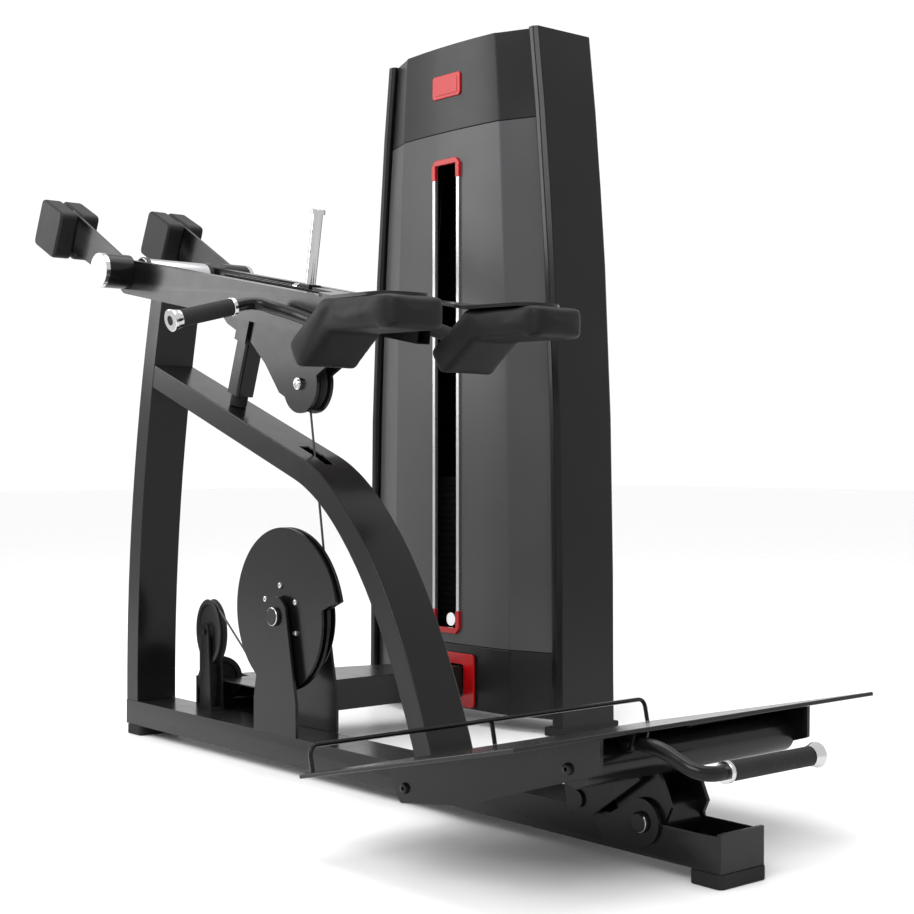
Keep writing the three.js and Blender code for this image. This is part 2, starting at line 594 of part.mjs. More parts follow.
// the back cover carries the cross frame that holds the top wheel
const topHalf = halfWidth(TOWER_HEIGHT) - 42;
const topFrame = block([-topHalf, topHalf], [STACK_Y - 50, TOWER_REAR - 10], [TOWER_HEIGHT - 60, TOWER_HEIGHT - 15]);
const topCheeks = [-22, 16].map((x) => block([x, x + 6], [STACK_Y - 10, TOWER_REAR - 10], [TOP_WHEEL_Z - 20, TOWER_HEIGHT - 40]));
const topPin = barX((STACK_Y + CABLE_REAR_Y) / 2, TOP_WHEEL_Z, boltRadius, -26, 26, 20);
const lid = plateXY([
  v2(-195, TOWER_FRONT + 22), v2(195, TOWER_FRONT + 22), v2(250, TOWER_SIDE - 7), v2(250, TOWER_REAR - 12),
  v2(-250, TOWER_REAR - 12), v2(-250, TOWER_SIDE - 7),
], TOWER_HEIGHT - 16, TOWER_HEIGHT - 8);
piece(tower, 'back_cover', loft(heights(TOWER_BOTTOM, TOWER_HEIGHT - 17, 6).map(backSection))
  .add(lid).add(topFrame).add(topCheeks[0]).add(topCheeks[1]).add(topPin), paint);

// ---------- weight stack ----------
const stackTop = STACK_BOTTOM + PLATE_COUNT * PLATE_PITCH;
const rodHoles = [-ROD_SPREAD, ROD_SPREAD].map((x) => barZ(x, STACK_Y, ROD_RADIUS + RUN_GAP, 0, 2000, 16));
const stackHalf = STACK_SIZE.x / 2;
const stackFront = STACK_Y - STACK_SIZE.y / 2;
const stackRear = STACK_Y + STACK_SIZE.y / 2;

// floor of the tower with the two blocks that the stack rests on and the bottom wheel's fork
const bottomWheel = {
  radius: (CABLE_REAR_Y - STACK_Y) / 2 + WHEEL_GROOVE - CABLE_RADIUS - GAP, half: 10, turn: TURN_WHEEL.turn,
};
const bottomRun = runRadius(bottomWheel);
bottomWheel.x = -heading(bottomWheel).x * bottomRun;
bottomWheel.y = CABLE_REAR_Y - heading(bottomWheel).y * bottomRun;
bottomWheel.z = TURN_WHEEL.z - runRadius(TURN_WHEEL) + bottomRun;
const innerHalf = TOWER_HALF_BASE - 44;
const floorTop = DUCT.z0 - 6;
const restBlock = (x) => block([x - 40, x + 40], [stackFront + 10, stackRear - 10], [floorTop - 5, STACK_BOTTOM - GAP]);
piece(tower, 'tower_base', block([-innerHalf, innerHalf], [850, 985], [TOWER_BOTTOM, floorTop])
  .add(restBlock(-ROD_SPREAD)).add(restBlock(ROD_SPREAD)).add(wheelFork(bottomWheel, floorTop - 2, 26, 16))
  .subtract(rodHoles[0]).subtract(rodHoles[1]), paint);
turnedWheel(tower, 'bottom_wheel', bottomWheel);
turnedWheel(tower, 'top_wheel', { ...bottomWheel, x: 0, y: (STACK_Y + CABLE_REAR_Y) / 2, z: TOP_WHEEL_Z, turn: 90 });

for (const [name, x] of [['guide_rod_left', -ROD_SPREAD], ['guide_rod_right', ROD_SPREAD]]) {
  piece(tower, name, barZ(x, STACK_Y, ROD_RADIUS, TOWER_BOTTOM, TOWER_HEIGHT - 60 - GAP, 16), chrome);
}
function plateStack() {
  let stack = block([-stackHalf, stackHalf], [stackFront, stackRear], [STACK_BOTTOM, stackTop - GAP]);
  for (let i = 1; i < PLATE_COUNT; i += 1) {
    const z = STACK_BOTTOM + i * PLATE_PITCH;
    stack = stack.subtract(block([-stackHalf - 5, stackHalf + 5], [stackFront - 5, stackFront + 3], [z - 0.8, z + 0.8]));
  }
  const pinHole = block([-8, 8], [stackFront - 5, stackFront + 90], [STACK_BOTTOM + 2, STACK_BOTTOM + 18]);
  return stack.subtract(rodHoles[0]).subtract(rodHoles[1]).subtract(pinHole);
}
piece(tower, 'weight_stack', plateStack(), castIron);
piece(tower, 'head_plate', block([-stackHalf, stackHalf], [stackFront, stackRear], [stackTop + GAP, stackTop + 26])
  .add(block([-22, 22], [stackFront + 20, stackRear - 20], [stackTop + 20, stackTop + 110]))
  .subtract(rodHoles[0]).subtract(rodHoles[1]), castIron);
piece(tower, 'selector_pin', barY(0, STACK_BOTTOM + 10, 5, stackFront - 60, stackFront + 80, 20)
  .add(barY(0, STACK_BOTTOM + 10, 20, stackFront - 78, stackFront - 60, 28)), chrome);

// ---------- swing arm ----------
const arm = new THREE.Group();
arm.position.set(PIVOT.x, 0, PIVOT.z);
arm.rotation.y = rad(ARM_SLOPE);
machine.add(arm);
const axleRoom = barY(0, 0, AXLE_RADIUS + GAP, -HUB_END + CAP_LENGTH, HUB_END - CAP_LENGTH);
const railOuter = RAIL_INNER + RAIL_THICK;

function railBar(y0) {
  const half = RAIL_HEIGHT / 2;
  const outline = [v2(RAIL_LENGTH, -half), v2(RAIL_LENGTH, half), ...arcPoints(0, 0, half, 90, 270, 20)];
  const y1 = y0 + RAIL_THICK;
  const hollow = block(
    [half + 10, RAIL_LENGTH + 10], [y0 + RAIL_WALL, y1 - RAIL_WALL], [-half + RAIL_WALL, half - RAIL_WALL],
  );
  return plateXZ(outline, y0, y1).subtract(hollow).translate([0, 0, -RAIL_DROP]);
}

// plate outside the rail that carries the counterweight behind the pivot
function weightPlate(y) {
  const { x, z } = WEIGHT_BLOCK;
  const outline = [[20, 40], [x + 30, z + 58], [x - 45, z + 45], [x - 45, z - 30], [-120, -6], [-10, -40]];
  return plateXZ(rounded(outline.map((p) => [...p, 16])), y - PLATE / 2, y + PLATE / 2);
}

// one side of the arm, welded up from the rail, the pivot hub and the counterweight plate
function armSide(side) {
  const hub = side < 0 ? [-HUB_END, -railOuter + 1] : [railOuter - 1, HUB_END];
  return railBar(side < 0 ? -railOuter : RAIL_INNER).add(barY(0, 0, HUB_RADIUS, ...hub))
    .add(weightPlate(side * WEIGHT_ARM_Y)).subtract(axleRoom);
}
piece(arm, 'arm_side_near', armSide(-1), paint);
piece(arm, 'arm_side_far', armSide(1), paint);

function counterweight(y0) {
  const h = WEIGHT_BLOCK.size / 2;
  const c = WEIGHT_BLOCK.corner;
  return plateXZ(rounded([[-h, -h, c], [h, -h, c], [h, h, c], [-h, h, c]]), y0, y0 + WEIGHT_BLOCK.half)
    .rotate([0, -WEIGHT_BLOCK.turn, 0]).translate([WEIGHT_BLOCK.x, 0, WEIGHT_BLOCK.z]);
}
const plateHalf = PLATE / 2 + GAP;
for (const [name, y] of [
  ['counterweight_near_outer', -WEIGHT_ARM_Y - plateHalf - WEIGHT_BLOCK.half],
  ['counterweight_near_inner', -WEIGHT_ARM_Y + plateHalf],
  ['counterweight_far_inner', WEIGHT_ARM_Y - plateHalf - WEIGHT_BLOCK.half],
  ['counterweight_far_outer', WEIGHT_ARM_Y + plateHalf],
]) {
  piece(arm, name, counterweight(y), castIron);
}

// two lever plates on two cross tubes hold the cable wheel below the rails
function leverPlate(y0) {
  const outline = [
    v2(ARM_CROSS_X[0] - 34, 34), v2(ARM_CROSS_X[0] - 34, -70), v2(ARM_CROSS_X[0], -92), v2(445, -122),
    v2(525, -170), v2(600, -232), ...arcPoints(WHEEL_LOCAL.x, WHEEL_LOCAL.z, LEVER_END_RADIUS, 215, 385, 18),
    v2(ARM_CROSS_X[1] + 34, -34), v2(ARM_CROSS_X[1] + 34, 34),
  ];
  return plateXZ(outline, y0, y0 + PLATE);
}
function adjusterSleeve() {
  const reach = LEVER_INNER + 1;
  return block([ADJUSTER_X - 20, ADJUSTER_X + 20], [-reach, reach], SLEEVE_SPAN)
    .subtract(barZ(ADJUSTER_X, 0, ADJUSTER_RADIUS + RUN_GAP / 2, -60, 80, 24))
    .subtract(barX(0, PIN_HEIGHT, PIN_RADIUS + GAP, ADJUSTER_X - 40, ADJUSTER_X, 16));
}
const crossTube = (x) => barY(x, 0, CROSS_RADIUS, -RAIL_INNER + GAP, RAIL_INNER - GAP, 28);
piece(arm, 'lever_frame', leverPlate(-LEVER_INNER - PLATE).add(leverPlate(LEVER_INNER))
  .add(crossTube(ARM_CROSS_X[0])).add(crossTube(ARM_CROSS_X[1])).add(adjusterSleeve())
  .subtract(barY(WHEEL_LOCAL.x, WHEEL_LOCAL.z, boltRadius + GAP, -100, 100, 20)), paint);
piece(arm, 'anchor_wheel', wheelSolid(WHEEL_RADIUS, LEVER_INNER - RUN_GAP, boltRadius + GAP, WHEEL_GROOVE)
  .translate([WHEEL_LOCAL.x, 0, WHEEL_LOCAL.z]), castIron);
const boltReach = LEVER_INNER + PLATE;
const boltHead = (y0, y1) => barY(WHEEL_LOCAL.x, WHEEL_LOCAL.z, boltRadius + 6, y0, y1, 20);
piece(arm, 'anchor_bolt', barY(WHEEL_LOCAL.x, WHEEL_LOCAL.z, boltRadius, -boltReach - 2, boltReach + 2, 20)
  .add(boltHead(-boltReach - 9, -boltReach - GAP)).add(boltHead(boltReach + GAP, boltReach + 9)), chrome);

// start-position adjuster: a grooved bar in the lever's sleeve, guided by a spring pin
function adjusterBar() {
  const [low, high] = ADJUSTER_SPAN;
  const half = PIN_RADIUS + GAP;
  const groove = block([ADJUSTER_X - 30, ADJUSTER_X - 3], [-half, half], [low + 4, PIN_HEIGHT + 2 * half]);
  return barZ(ADJUSTER_X, 0, ADJUSTER_RADIUS, low, high, 16)
    .add(barZ(ADJUSTER_X, 0, ADJUSTER_RADIUS + 5, high - 12, high, 20)).subtract(groove);
}
piece(arm, 'adjuster_bar', adjusterBar(), chrome);
piece(arm, 'adjuster_pin', barX(0, PIN_HEIGHT, PIN_RADIUS, ADJUSTER_X - 49, ADJUSTER_X - 5, 16)
  .add(barX(0, PIN_HEIGHT, 11, ADJUSTER_X - 62, ADJUSTER_X - 44, 20)), chrome);

// stop post: its two ears clasp the lever plates and it rests on the strut through a rubber bumper
const stopPlace = (s) => s.rotate([0, STOP_TILT, 0]).translate([STOP_LOCAL_X, 0, 0]);
const stopBottom = -STOP_TOP - STOP_LENGTH;
const stopCorners = frameCorners(-STOP_HALF, STOP_HALF, -STOP_HALF, STOP_HALF, 8);
const earInner = LEVER_INNER + PLATE + GAP;
const stopEar = (y) => block([-26, 26], [y, y + PLATE], [-STOP_TOP, -8]);
const saddle = block([-STOP_HALF, STOP_HALF], [-earInner - PLATE, earInner + PLATE], [-STOP_TOP - 1, -STOP_TOP + 8])
  .add(stopEar(earInner)).add(stopEar(-earInner - PLATE));
piece(arm, 'stop_post', stopPlace(plateXY(stopCorners, stopBottom, -STOP_TOP).add(saddle)), paint);
piece(arm, 'stop_bumper', stopPlace(barZ(0, 0, BUMPER_RADIUS, stopBottom - BUMPER_HEIGHT, stopBottom - GAP, 28)), rubber);

// ---------- pads and handles, level at rest ----------
const padSide = PAD.y1 - PAD.y0;
const flapDrop = rad(PAD_FLAP.fall);
// side outline: a level slab whose rear part bends down behind the shoulder
function padOutline() {
  const crease = v2(PAD.x0, PAD.z0 + 5);
  const back = crease.clone().add(v2(-Math.cos(flapDrop), -Math.sin(flapDrop)).multiplyScalar(PAD_FLAP.length));
  const across = v2(-Math.sin(flapDrop), Math.cos(flapDrop)).multiplyScalar(PAD_FLAP.thick);
  const top = PAD.z0 + PAD.thick;
  return rounded([
    [PAD.x1, PAD.z0, 16], [PAD.x1, top, 16], [PAD.x0 - 24, top + 6, 12],
    [back.x + across.x, back.y + across.y, 14], [back.x, back.y, 14], [crease.x, crease.y, 10],
  ], 4);
}
function padPlan(y0) {
  const rear = PAD.x0 - 190;
  return rounded([[rear, y0, 60], [PAD.x1, y0, 40], [PAD.x1, y0 + padSide, 40], [rear, y0 + padSide, 60]], 5);
}
const padTop = PAD.z0 + PAD.thick + 2;
// bent plate from the rail's top to the pad, with an arched edge and a hand hole
function padPlate(side) {
  const bend = [v2(985, padTop + 50), v2(1180, padTop + 14), v2(1210, padTop + 8), v2(1400, padTop + 5)];
  const inner = RAIL_INNER;
  const outer = PAD.y1 - 18;
  const mid = (inner + outer) / 2;
  const plan = [
    [980, inner, 4], [1180, inner, 30], [1400, inner + 20, 50], [1400, outer, 70], [1150, outer, 60],
    [1110, inner + 70, 60], [980, inner + 44, 5],
  ];
  const hole = [[1220, mid - 22, 20], [1340, mid - 22, 20], [1340, mid + 22, 20], [1220, mid + 22, 20]];
  const far = plateXZ(ribbon(bend, PLATE), inner, outer)
    .intersect(plateXY(rounded(plan), 900, 1300)).subtract(plateXY(rounded(hole), 900, 1300));
  return side > 0 ? far : far.mirror([0, 1, 0]);
}
function handle(s) {
  const bend = [
    [1000, 16, 1078], [930, 20, 1098], [862, 32, 1117], [832, 50, 1127], [822, 76, 1126], [821, 110, 1118],
  ].map(([x, out, z]) => v3(x, s * (railOuter + out), z));
  const along = v3(0, s, -0.25).normalize();
  const start = bend[bend.length - 1];
  const at = (d) => start.clone().addScaledVector(along, d);
  return roundTube([...bend, at(12)], HANDLE_RADIUS, 12, 10)
    .add(routeTube([at(0), at(GRIP_LENGTH)], GRIP_RADIUS, 16))
    .add(routeTube([at(GRIP_LENGTH - 2), at(GRIP_LENGTH + 12)], GRIP_RADIUS + 6, 16));
}
for (const [side, tag] of [[-1, 'near'], [1, 'far']]) {
  const y0 = side < 0 ? -PAD.y1 : PAD.y0;
  piece(machine, `shoulder_pad_${tag}`, plateXZ(padOutline(), y0, y0 + padSide).intersect(plateXY(padPlan(y0), 800, 1300)), padFoam);
  piece(machine, `pad_plate_${tag}`, padPlate(side), paint);
  piece(machine, `handle_${tag}`, handle(side), paint);
}

// ---------- platform, tilted about its rear edge ----------
const platform = new THREE.Group();
platform.position.set(FOOT_PLATE.x, 0, FOOT_PLATE.z);
platform.rotation.y = rad(-PLATE_TILT);
machine.add(platform);
platform.updateMatrixWorld(true);
const toPlatform = (x, z) => {
  const p = platform.worldToLocal(v3(x, 0, z));
  return v2(p.x, p.z);
};
piece(platform, 'foot_plate', block([0, FOOT_PLATE.length], [-FOOT_PLATE.half, FOOT_PLATE.half], [-FOOT_PLATE.thick, 0]), paint);

const under = -FOOT_PLATE.thick - GAP;
const sideOutline = [[12, under, 0], [41, -84, 10], [226, -99, 24], [612, -68, 6], [626, under, 0]];
const tubeCentre = { x: PLATFORM_TUBE.x, z: -PLATFORM_TUBE.drop };
const crossBar = (radius, reach) => barY(tubeCentre.x, tubeCentre.z, radius, -reach, reach);
// two side plates welded to the cross tube
function platformFrame() {
  const sides = [-SIDE_PLATE_Y, SIDE_PLATE_Y - PLATE].map((y) => plateXZ(rounded(sideOutline), y, y + PLATE));
  return sides[0].add(sides[1]).add(crossBar(PLATFORM_TUBE.radius, SIDE_PLATE_Y - PLATE + 1))
    .subtract(barY(tubeCentre.x, tubeCentre.z, PLATFORM_TUBE.radius - 4, -SIDE_PLATE_Y + PLATE, SIDE_PLATE_Y + 5));
}
piece(platform, 'platform_frame', platformFrame(), paint);

function stopRod() {
  const { inset, height, reach, radius } = STOP_ROD;
  const corner = 18;
  const bend = (s) => arcPoints(0, 0, corner, 0, 90, 4).map((p) => v3(inset, s * (reach - corner + p.x), height - corner + p.y));
  const rail = [v3(inset, reach, GAP), ...bend(1), ...bend(-1).reverse(), v3(inset, -reach, GAP)];
  return routeTube(rail, radius, 8).add(barZ(inset, 0, radius, GAP, height, 8));
}
piece(platform, 'stop_rod', stopRod(), paint);

// carrier under the foot plate: barrel on the pivot, side lugs and the pin that rests on the beam
function carrier() {
  const pivot = toPlatform(TILT_AXIS.x, TILT_AXIS.z);
  const lug = [[-191, 111], [-184, 84], [-118, 84], [5, 169]].map(([x, z]) => toPlatform(TILT_AXIS.x + x, z));
  const lugOutline = [v2(lug[0].x, under), ...lug, v2(lug[3].x + 10, under)];
  const cheek = [v2(pivot.x - 130, under), ...arcPoints(pivot.x, pivot.y, BARREL_RADIUS, 190, 350, 14),
    v2(pivot.x + 70, pivot.y + 20), v2(pivot.x + 62, pivot.y + 58), v2(pivot.x + 30, under)];
  const pin = toPlatform(REST_PIN.x, beamTop + GAP + REST_PIN.radius);
  const inside = tubeHalf - TUBE_WALL - RUN_GAP;
  const outside = tubeHalf + 6 + RUN_GAP;
  return barY(pivot.x, pivot.y, BARREL_RADIUS, -inside, inside)
    .add(plateXZ(cheek, -inside, -inside + PLATE)).add(plateXZ(cheek, inside - PLATE, inside))
    .add(plateXZ(lugOutline, -outside - PLATE, -outside)).add(plateXZ(lugOutline, outside, outside + PLATE))
    .add(barY(pin.x, pin.y, REST_PIN.radius, -outside - PLATE - 6, outside + PLATE + 6))
    .add(block([lug[0].x + 20, lug[0].x + 110], [-outside - 1, outside + 1], [under - 10, under]))
    .subtract(barY(pivot.x, pivot.y, AXLE_RADIUS + GAP, -100, 100))
    .subtract(barY(tubeCentre.x, tubeCentre.z, PLATFORM_TUBE.radius + GAP, -200, 200));
}
piece(platform, 'platform_carrier', carrier(), paint);
const tiltReach = tubeHalf + 6;
const tiltHead = (y0, y1) => barY(TILT_AXIS.x, TILT_AXIS.z, AXLE_RADIUS + 5, y0, y1, 24);
piece(machine, 'platform_axle', barY(TILT_AXIS.x, TILT_AXIS.z, AXLE_RADIUS, -tiltReach - 1, tiltReach + 1)
  .add(tiltHead(-tiltReach - 8, -tiltReach - GAP)).add(tiltHead(tiltReach + GAP, tiltReach + 8)), chrome);

function releaseHandle() {
  const { x, y, z, radius, grip } = RELEASE;
  const bend = [
    v3(x, y, z), v3(x + 30, y, z), v3(x + 69, y, z - 5), v3(x + 106, y + 3, z - 20), v3(x + 136, y + 10, z - 32),
    v3(x + 154, y + 28, z - 36), v3(x + 160, y + 56, z - 36),
  ];
  const start = bend[bend.length - 1];
  const at = (d) => start.clone().add(v3(0, d, 0));
  const eye = barY(x, z, 14, y - 13, y + 13, 24);
  return roundTube([...bend, at(12)], radius, 14, 10).add(eye).subtract(barY(x, z, 6 + GAP, y - 30, y + 30, 20))
    .add(routeTube([at(0), at(236)], grip, 16)).add(routeTube([at(234), at(252)], grip + 5, 16));
}
piece(machine, 'release_handle', releaseHandle(), paint);
function releaseBracket() {
  const { x, y, z } = RELEASE;
  const eye = toPlatform(x, z);
  const cheek = [v2(eye.x - 24, under), ...arcPoints(eye.x, eye.y, 14, 190, 350, 10), v2(eye.x + 24, under)];
  const reach = 13 + RUN_GAP;
  return plateXZ(cheek, y - reach - 5, y - reach).add(plateXZ(cheek, y + reach, y + reach + 5))
    .add(barY(eye.x, eye.y, 6, y - reach - 8, y + reach + 8, 20));
}
piece(platform, 'release_bracket', releaseBracket(), paint);

// ---------- cables ----------
// The arm cable leaves the front of the drum and runs straight up to the anchor wheel.
function armCable() {
  arm.updateMatrixWorld(true);
  const top = arm.localToWorld(v3(WHEEL_LOCAL.x, 0, WHEEL_LOCAL.z));
  const run = DRUM_RADIUS + CABLE_RADIUS + GAP;
  const toDrum = v2(CAM.x - top.x, CAM.z - top.z);
  const side = Math.asin(run / toDrum.length());
  const direction = Math.atan2(toDrum.y, toDrum.x) + side;
  const leave = direction + Math.PI / 2;
  const wrap = heights(-100, 0, 14).map((d) => leave + rad(d))
    .map((a) => v3(CAM.x + run * Math.cos(a), 0, CAM.z + run * Math.sin(a)));
  const start = wrap[wrap.length - 1];
  const length = Math.sqrt(toDrum.length() ** 2 - run ** 2) - (WHEEL_RADIUS - WHEEL_GROOVE) - 2;
  const up = v3(-Math.cos(direction), 0, -Math.sin(direction));
  return routeTube([...wrap, ...[0.25, 0.5, 0.75, 1].map((k) => start.clone().addScaledVector(up, length * k))], CABLE_RADIUS, 8);
}
piece(machine, 'arm_cable', armCable(), cableSteel);

// points round a wheel, in the wheel's own upright plane
function aroundWheel(spec, fromDeg, toDeg, steps) {
  const flat = heading(spec);
  const r = runRadius(spec);
  return arcPoints(0, 0, r, fromDeg, toDeg, steps)
    .map((p) => v3(spec.x + flat.x * p.x, spec.y + flat.y * p.x, spec.z + p.y));
}
// The weight cable goes from the bottom of the cam over the guide wheel, under the turn wheel,
// through the duct, up behind the stack and over the top wheel to the head plate.
function weightCable() {
  const camY = (CAM.y[0] + CAM.y[1]) / 2;
  const camWrap = heights(320, CAM_LEAVE_ANGLE, 11).map((deg) => {
    const t = (deg - CAM_STEP_ANGLE) / 356;
    const r = CAM_SMALL + (CAM_BIG - CAM_SMALL) * (1 - t) ** 1.2 - CAM_GROOVE + CABLE_RADIUS + 1;
    return v3(CAM.x + r * Math.cos(rad(deg)), camY, CAM.z + r * Math.sin(rad(deg)));
  });
  // the cable runs straight out of the cam's groove before it bends over the flange to the guide wheel
  const leave = camWrap[camWrap.length - 1];
  const flat = rad(CAM_LEAVE_ANGLE - 90);
  const straight = [35, CAM_STRAIGHT].map((d) => leave.clone().add(v3(d * Math.cos(flat), 0, d * Math.sin(flat))));
  const inTower = (spec) => ({ ...spec, x: spec.x + TOWER_X });
  const top = { ...inTower(bottomWheel), x: TOWER_X, y: (STACK_Y + CABLE_REAR_Y) / 2, z: TOP_WHEEL_Z, turn: 90 };
  return routeTube([
    ...camWrap, ...straight, ...aroundWheel(GUIDE_WHEEL, CAM_LEAVE_ANGLE - 180, 180, 14), ...aroundWheel(turnWheel, 180, 270, 10),
    ...aroundWheel(inTower(bottomWheel), 270, 360, 9), ...aroundWheel(top, 0, 180, 18),
    v3(TOWER_X, STACK_Y, stackTop + 110 + GAP),
  ], CABLE_RADIUS, 6);
}
piece(machine, 'weight_cable', weightCable(), cableSteel);

export default machine;
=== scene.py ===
"""Looks for the pin-loaded squat machine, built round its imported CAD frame. Metres, +Z up."""
import json
import math

import bmesh
import bpy
import numpy as np
from mathutils import Matrix, Vector


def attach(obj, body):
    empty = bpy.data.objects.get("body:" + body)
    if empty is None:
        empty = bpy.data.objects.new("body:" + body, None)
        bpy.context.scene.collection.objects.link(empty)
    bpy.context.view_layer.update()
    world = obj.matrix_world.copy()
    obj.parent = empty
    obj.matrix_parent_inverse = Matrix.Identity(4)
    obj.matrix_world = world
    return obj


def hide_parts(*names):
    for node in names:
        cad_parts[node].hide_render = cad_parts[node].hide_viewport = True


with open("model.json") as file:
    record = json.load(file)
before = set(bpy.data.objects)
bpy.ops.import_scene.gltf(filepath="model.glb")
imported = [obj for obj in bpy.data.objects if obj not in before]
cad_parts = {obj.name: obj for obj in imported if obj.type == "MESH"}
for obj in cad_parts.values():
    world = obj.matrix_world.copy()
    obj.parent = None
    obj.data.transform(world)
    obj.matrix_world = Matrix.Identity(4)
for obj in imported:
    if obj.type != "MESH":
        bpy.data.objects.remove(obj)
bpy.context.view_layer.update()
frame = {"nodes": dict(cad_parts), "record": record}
nodes = frame["nodes"]
body_of_node = {n: b for b, names in frame["record"]["behaviour"]["bodies"].items() for n in names}

# ---------- shared sizes ----------
ARM = Matrix.Translation((0.115, 0, 1.267)) @ Matrix.Rotation(math.radians(10.5), 4, "Y")
PLATFORM = Matrix.Translation((1.428, 0, 0.157)) @ Matrix.Rotation(math.radians(-12.5), 4, "Y")
CAM_CENTRE = Vector((0.700, 0, 0.380))
TOWER_X = 0.375
TOWER_FRONT = 0.757


# ---------- camera, light and floor ----------
def add_camera():
    data = bpy.data.cameras.new("camera")
    data.lens = 63.41
    data.sensor_width = 36
    data.clip_end = 50
    camera = bpy.data.objects.new("camera", data)
    camera.location = (3.996, -2.264, 0.770)
    camera.rotation_euler = (math.radians(90), 0, math.radians(49.8))
    bpy.context.collection.objects.link(camera)
    bpy.context.scene.camera = camera


def add_area(name, location, target, size, power):
    data = bpy.data.lights.new(name, "AREA")
    data.shape = "RECTANGLE"
    data.size, data.size_y = size
    data.energy = power
    light = bpy.data.objects.new(name, data)
    light.location = location
    light.rotation_euler = (Vector(target) - Vector(location)).to_track_quat("-Z", "Y").to_euler()
    bpy.context.collection.objects.link(light)


def add_studio():
    world = bpy.data.worlds.new("studio")
    bpy.context.scene.world = world
    world.use_nodes = True
    background = world.node_tree.nodes["Background"]
    background.inputs["Color"].default_value = (1.0, 1.0, 1.0, 1)
    background.inputs["Strength"].default_value = 1.05
    add_area("key", (3.2, -3.6, 3.8), (0.8, 0.2, 0.8), (2.6, 2.6), 150)
    add_area("side", (-2.6, -2.4, 2.6), (0.4, 0, 0.9), (1.6, 3.0), 90)
    add_area("top", (0.8, 0.4, 4.6), (0.8, 0.2, 0), (3.5, 3.0), 110)
    bpy.context.scene.view_settings.view_transform = "Standard"


def add_floor():
    mesh = bpy.data.meshes.new("floor")
    mesh.from_pydata([(-30, -30, 0), (30, -30, 0), (30, 30, 0), (-30, 30, 0)], [], [(0, 1, 2, 3)])
    floor = bpy.data.objects.new("floor", mesh)
    bpy.context.collection.objects.link(floor)
    floor.location.z = -0.0005
    white = make_material("floor_white", (0.90, 0.90, 0.90), 0.42, grain=6, grain_bump=0.0, mottle=0.02)
    mesh.materials.append(white)


# ---------- materials ----------
def make_material(name, colour, rough, metal=0.0, coat=0.0, grain=400, grain_bump=0.1, mottle=0.15,
                  rough_spread=0.08, leather=False, brushed=None, wear=0.0):
    """A procedural finish: broad colour mottling, uneven gloss and fine relief."""
    material = bpy.data.materials.new(name)
    material.use_nodes = True
    tree = material.node_tree
    shader = tree.nodes["Principled BSDF"]
    shader.inputs["Metallic"].default_value = metal
    shader.inputs["Coat Weight"].default_value = coat
    shader.inputs["Coat Roughness"].default_value = 0.12
    shader.inputs["Specular IOR Level"].default_value = 0.5 if metal > 0.5 else 0.16
    link = tree.links.new
    place = tree.nodes.new("ShaderNodeTexCoord").outputs["Object"]

    broad = tree.nodes.new("ShaderNodeTexNoise")
    broad.inputs["Scale"].default_value = 7
    broad.inputs["Detail"].default_value = 5
    link(place, broad.inputs["Vector"])
    ramp = tree.nodes.new("ShaderNodeValToRGB")
    ramp.color_ramp.elements[0].position = 0.3
    ramp.color_ramp.elements[1].position = 0.7
    ramp.color_ramp.elements[0].color = (*[c * (1 - mottle) for c in colour], 1)
    ramp.color_ramp.elements[1].color = (*[min(1, c * (1 + mottle)) for c in colour], 1)
    link(broad.outputs["Fac"], ramp.inputs["Fac"])
    shade = ramp.outputs["Color"]
    if wear:
        shade = add_wear(tree, shade, colour, wear)
    link(shade, shader.inputs["Base Color"])

    smudge = tree.nodes.new("ShaderNodeTexNoise")
    smudge.inputs["Scale"].default_value = 19
    smudge.inputs["Detail"].default_value = 8
    smudge.inputs["Roughness"].default_value = 0.65
    link(place, smudge.inputs["Vector"])
    spread = tree.nodes.new("ShaderNodeMapRange")
    spread.inputs["To Min"].default_value = max(0.02, rough - rough_spread)
    spread.inputs["To Max"].default_value = rough + rough_spread
    link(smudge.outputs["Fac"], spread.inputs["Value"])
    link(spread.outputs["Result"], shader.inputs["Roughness"])

    if grain_bump:
        fine = fine_pattern(tree, place, grain, leather, brushed)
        bump = tree.nodes.new("ShaderNodeBump")
        bump.inputs["Strength"].default_value = grain_bump
        bump.inputs["Distance"].default_value = 0.0006
        link(fine, bump.inputs["Height"])
        link(bump.outputs["Normal"], shader.inputs["Normal"])
    return material


def fine_pattern(tree, place, grain, leather, brushed):
    """Height of the surface's small relief: brushed lines, leather cells or paint grain."""
    link = tree.links.new
    if brushed:
        stretch = tree.nodes.new("ShaderNodeMapping")
        stretch.inputs["Scale"].default_value = brushed
        link(place, stretch.inputs["Vector"])
        place = stretch.outputs["Vector"]
    if leather:
        cells = tree.nodes.new("ShaderNodeTexVoronoi")
        cells.feature = "SMOOTH_F1"
        cells.inputs["Scale"].default_value = grain
        cells.inputs["Smoothness"].default_value = 0.6
        link(place, cells.inputs["Vector"])
        return cells.outputs["Distance"]
    noise = tree.nodes.new("ShaderNodeTexNoise")
    noise.inputs["Scale"].default_value = grain
    noise.inputs["Detail"].default_value = 3
    link(place, noise.inputs["Vector"])
    return noise.outputs["Fac"]


def add_wear(tree, shade, colour, amount):
    """Slightly rubbed, paler paint along convex edges."""
    link = tree.links.new
    edge = tree.nodes.new("ShaderNodeNewGeometry").outputs["Pointiness"]
    limit = tree.nodes.new("ShaderNodeMapRange")
    limit.inputs["From Min"].default_value = 0.53
    limit.inputs["From Max"].default_value = 0.62
    limit.inputs["To Max"].default_value = amount
    link(edge, limit.inputs["Value"])
    mix = tree.nodes.new("ShaderNodeMix")
    mix.data_type = "RGBA"
    link(limit.outputs["Result"], mix.inputs["Factor"])
    link(shade, mix.inputs["A"])
    mix.inputs["B"].default_value = (*[min(1, c * 3 + 0.05) for c in colour], 1)
    return mix.outputs["Result"]


